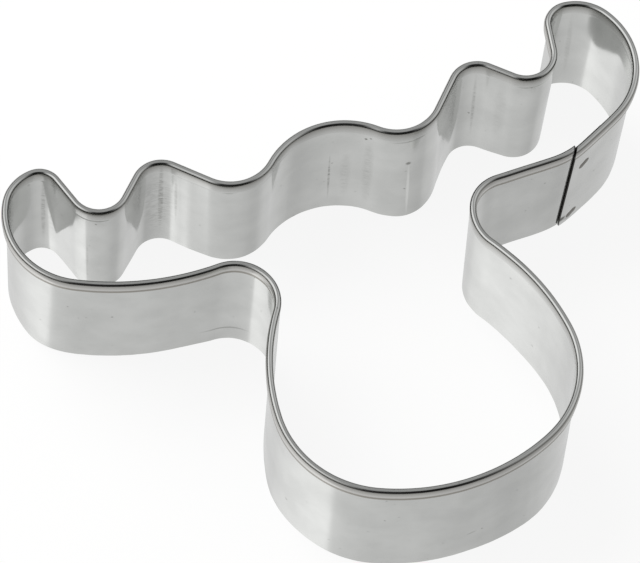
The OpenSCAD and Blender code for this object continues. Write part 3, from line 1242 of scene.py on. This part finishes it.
@dataclass(frozen=True)
class Studio:
    """Plain pale floor, a soft bright surround and the camera at the photograph's viewing angle."""

    target: tuple[float, float, float] = (-4.174, 16.044, 0.0)
    distance: float = 1068.91
    azimuth: float = -24.57
    elevation: float = 60.756
    roll: float = 4.117
    focal_px: float = 6500.0
    frame_px: float = 640.0
    sight_m: float = 100.0
    floor_colour: str = "E6E6E4"
    floor_half: float = 1500.0
    floor_glow: float = 0.9
    sweep_edge: tuple[float, float] = (-19.0, -3.0)
    lights_edge: tuple[float, float] = (8.0, 18.0)
    ceiling_edge: tuple[float, float] = (52.0, 64.0)
    ceiling: float = 0.43
    lamp_azimuth: float = -146.0
    lamp_elevation: float = 45.0
    lamp_distance: float = 1200.0
    lamp_side: float = 1000.0
    lamp_watts: float = 18.0

    @staticmethod
    def direction(azimuth: float, elevation: float) -> Vector:
        """Unit vector to a place round the object, azimuth 0 being the front and 90 the right."""
        turn, rise = math.radians(azimuth), math.radians(elevation)
        return Vector((math.sin(turn) * math.cos(rise), -math.cos(turn) * math.cos(rise), math.sin(rise)))

    def add_camera(self) -> None:
        """Adds the camera and makes it the scene's."""
        data = bpy.data.cameras.new("photo_view")
        data.lens = self.focal_px / self.frame_px * data.sensor_width
        data.clip_end = self.sight_m
        camera = bpy.data.objects.new("photo_view", data)
        back = self.direction(self.azimuth, self.elevation)
        place = (Vector(self.target) + back * self.distance) * MM
        turned = back.to_track_quat("Z", "Y").to_matrix() @ Matrix.Rotation(math.radians(self.roll), 3, "Z")
        camera.matrix_world = Matrix.Translation(place) @ turned.to_4x4()
        bpy.context.scene.collection.objects.link(camera)
        bpy.context.scene.camera = camera

    def add_floor(self) -> None:
        """Adds the floor: matt and pale, lifted towards white for the camera.

        Reflections leave it out: a wall that stands on it would mirror only the few millimetres beside
        its foot, so the surround's pale lower half stands for the floor there.
        """
        half = self.floor_half
        points = np.array([[-half, -half, 0], [half, -half, 0], [half, half, 0], [-half, half, 0]])
        floor = new_piece("floor", points, np.array([[0, 1, 2, 3]]))
        floor.visible_glossy = False
        material, tree = new_material("matt_white_sweep")
        camera = add_node(tree, "ShaderNodeLightPath", {}, output="Is Camera Ray")
        inputs = {0: camera, 1: camera.node.outputs["Is Transmission Ray"]}
        seen = add_node(tree, "ShaderNodeMath", inputs, operation="MAXIMUM")
        share = add_node(tree, "ShaderNodeMath", {0: seen, 1: self.floor_glow}, operation="MULTIPLY")
        matt = add_node(tree, "ShaderNodeBsdfDiffuse", {"Color": linear_rgb(self.floor_colour)})
        white = add_node(tree, "ShaderNodeEmission", {"Strength": 1.0})
        both = add_node(tree, "ShaderNodeMixShader", {0: share, 1: matt, 2: white})
        add_node(tree, "ShaderNodeOutputMaterial", {"Surface": both})
        floor.data.materials.append(material)

    def add_surround(self) -> None:
        """Adds the studio round the object: white to the camera, otherwise the zones of sweep and lights.

        Going up from the sweep come a dark gap, the lights and a grey ceiling, each taking over from the one
        below by a smooth step of the elevation.
        """
        world = bpy.data.worlds.new("studio")
        bpy.context.scene.world = world
        world.use_nodes = True
        tree = world.node_tree
        tree.nodes.clear()
        way = add_node(tree, "ShaderNodeTexCoord", {}, output="Generated")
        x, y, z = add_node(tree, "ShaderNodeSeparateXYZ", {0: way}).node.outputs
        ahead = add_node(tree, "ShaderNodeMath", {0: y, 1: -1.0}, operation="MULTIPLY")
        azimuth = add_node(tree, "ShaderNodeMath", {0: x, 1: ahead}, operation="ARCTAN2")
        elevation = add_node(tree, "ShaderNodeMath", {0: z}, operation="ARCSINE")
        inputs = {"Value": azimuth, "From Min": -math.pi, "From Max": math.pi}
        turn = add_node(tree, "ShaderNodeMapRange", inputs)
        seen = grey_levels(tree, turn, [(zone.turn, zone.sweep) for zone in ZONES])
        gap = grey_levels(tree, turn, [(zone.turn, zone.gap) for zone in ZONES])
        lights = grey_levels(tree, turn, [(zone.turn, zone.lights) for zone in ZONES])
        ceiling = (self.ceiling, self.ceiling, self.ceiling, 1.0)
        steps = ((self.sweep_edge, gap), (self.lights_edge, lights), (self.ceiling_edge, ceiling))
        for (low, high), beyond in steps:
            inputs = {"Value": elevation, "From Min": math.radians(low), "From Max": math.radians(high)}
            past = add_node(tree, "ShaderNodeMapRange", inputs, interpolation_type="SMOOTHSTEP")
            seen = add_node(tree, "ShaderNodeMix", {0: past, 6: seen, 7: beyond}, output=2, data_type="RGBA")
        camera = add_node(tree, "ShaderNodeLightPath", {}, output="Is Camera Ray")
        lit = add_node(tree, "ShaderNodeBackground", {"Color": seen, "Strength": 1.0})
        white = add_node(tree, "ShaderNodeBackground", {"Color": (1, 1, 1, 1), "Strength": 1.0})
        mixed = add_node(tree, "ShaderNodeMixShader", {0: camera, 1: lit, 2: white})
        add_node(tree, "ShaderNodeOutputWorld", {"Surface": mixed})

    def add_lamp(self) -> None:
        """Adds a large square softbox that lights the floor, left out of reflections."""
        data = bpy.data.lights.new("key_softbox", "AREA")
        data.size = self.lamp_side * MM
        data.energy = self.lamp_watts
        lamp = bpy.data.objects.new("key_softbox", data)
        lamp.visible_glossy = False
        back = self.direction(self.lamp_azimuth, self.lamp_elevation)
        turned = back.to_track_quat("Z", "Y").to_matrix()
        lamp.matrix_world = Matrix.Translation(back * self.lamp_distance * MM) @ turned.to_4x4()
        bpy.context.scene.collection.objects.link(lamp)

    def build(self) -> None:
        """Sets up the whole studio."""
        self.add_camera()
        self.add_floor()
        self.add_surround()
        self.add_lamp()
        bpy.context.scene.view_settings.view_transform = "Standard"


def main() -> None:
    """Builds the studio, then the strip and its welds, and logs each piece."""
    logging.basicConfig(level=logging.INFO, format="%(message)s")
    Studio().build()
    strip = CutterStrip()
    cutter = strip.build()
    cutter.data.materials.append(Tinplate().build())
    # Near-black cut faces and plugs are partly bare steel and partly painted shade; the hem lip's grey is
    # painted shade.
    cutter.data.materials.append(EdgeAndShade("cut_edge_painted_shade", "3A3835").build())
    cutter.data.materials.append(EdgeAndShade("hem_lip_painted_shade", "9A9790", roughness=0.35).build())
    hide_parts("cutter_strip")
    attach(cutter, "root")
    LOG.info("%s: %d faces", cutter.name, len(cutter.data.polygons))
    scar = WeldScar().build()
    welds = [
        SpotWeld("weld_scar_upper", "spot_weld_upper", along=2.2, up=17.0),
        SpotWeld("weld_scar_lower", "spot_weld_lower", along=1.0, up=1.9),
    ]
    for weld in welds:
        piece = weld.build(strip)
        piece.data.materials.append(scar)
        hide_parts(weld.node)
        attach(piece, "root")
        LOG.info("%s: %d faces", piece.name, len(piece.data.polygons))


if __name__ == "__main__":
    main()
